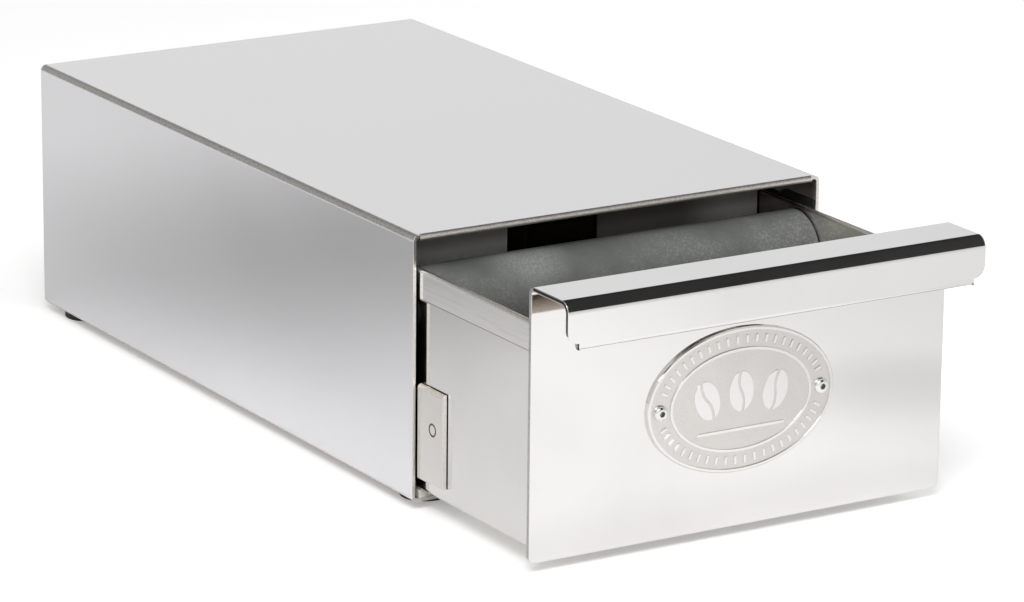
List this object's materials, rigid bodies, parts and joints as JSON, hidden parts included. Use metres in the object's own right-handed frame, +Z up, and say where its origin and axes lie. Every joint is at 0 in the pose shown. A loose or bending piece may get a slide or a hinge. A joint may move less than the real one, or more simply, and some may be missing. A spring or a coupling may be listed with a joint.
{
  "type": "coffee knock drawer",
  "caption": "Folded stainless steel housing with a pull-out drawer for used coffee, a rubber-covered knock bar across it, a hemmed pull handle and an oval badge.",
  "frame": {"origin": "on the resting surface, under the middle of the object's bounding box with the drawer pulled out as in the picture", "axes": "+X to the right seen from the front, +Y from the drawer's handle towards the closed back, +Z up"},
  "size_m": [0.17, 0.391, 0.1012],
  "materials": {
    "housing_steel": "satin brushed stainless sheet",
    "tray_steel": "bright rolled stainless sheet",
    "front_steel": "satin stainless sheet with fine polishing marks",
    "polished_steel": "polished stainless",
    "guide_steel": "sheared stainless sheet with a weld mark",
    "fastener_steel": "plain stainless fasteners",
    "badge_metal": "cast metal with a matte grey ring",
    "bar_rubber": "dark grey rubber with a light powdery bloom",
    "foot_rubber": "black rubber",
    "pad_rubber": "black self-adhesive rubber",
    "glide_plastic": "off-white low-friction plastic"
  },
  "bodies": {
    "housing": {"housing_shell": "housing_steel", "rear_panel": "housing_steel", "foot_front_left": "foot_rubber", "foot_front_right": "foot_rubber", "foot_rear_left": "foot_rubber", "foot_rear_right": "foot_rubber", "glide_strip_left": "glide_plastic", "glide_strip_right": "glide_plastic", "side_pad_left": "pad_rubber", "side_pad_right": "pad_rubber"},
    "drawer": {"drawer_tray": "tray_steel", "front_panel": "front_steel", "guide_plate_front_left": "guide_steel", "guide_plate_front_right": "guide_steel", "guide_plate_rear_left": "guide_steel", "guide_plate_rear_right": "guide_steel", "splash_plate": "polished_steel", "bar_core": "polished_steel", "bar_sleeve": "bar_rubber", "bar_screws": "fastener_steel", "badge_plate": "badge_metal", "badge_screws": "fastener_steel", "badge_nuts": "fastener_steel"}
  },
  "joints": [
    {"name": "drawer_slide", "type": "slide", "parent": "housing", "child": "drawer", "axis": [0, -1, 0], "range_m": [-0.0762, 0.11]}
  ]
}
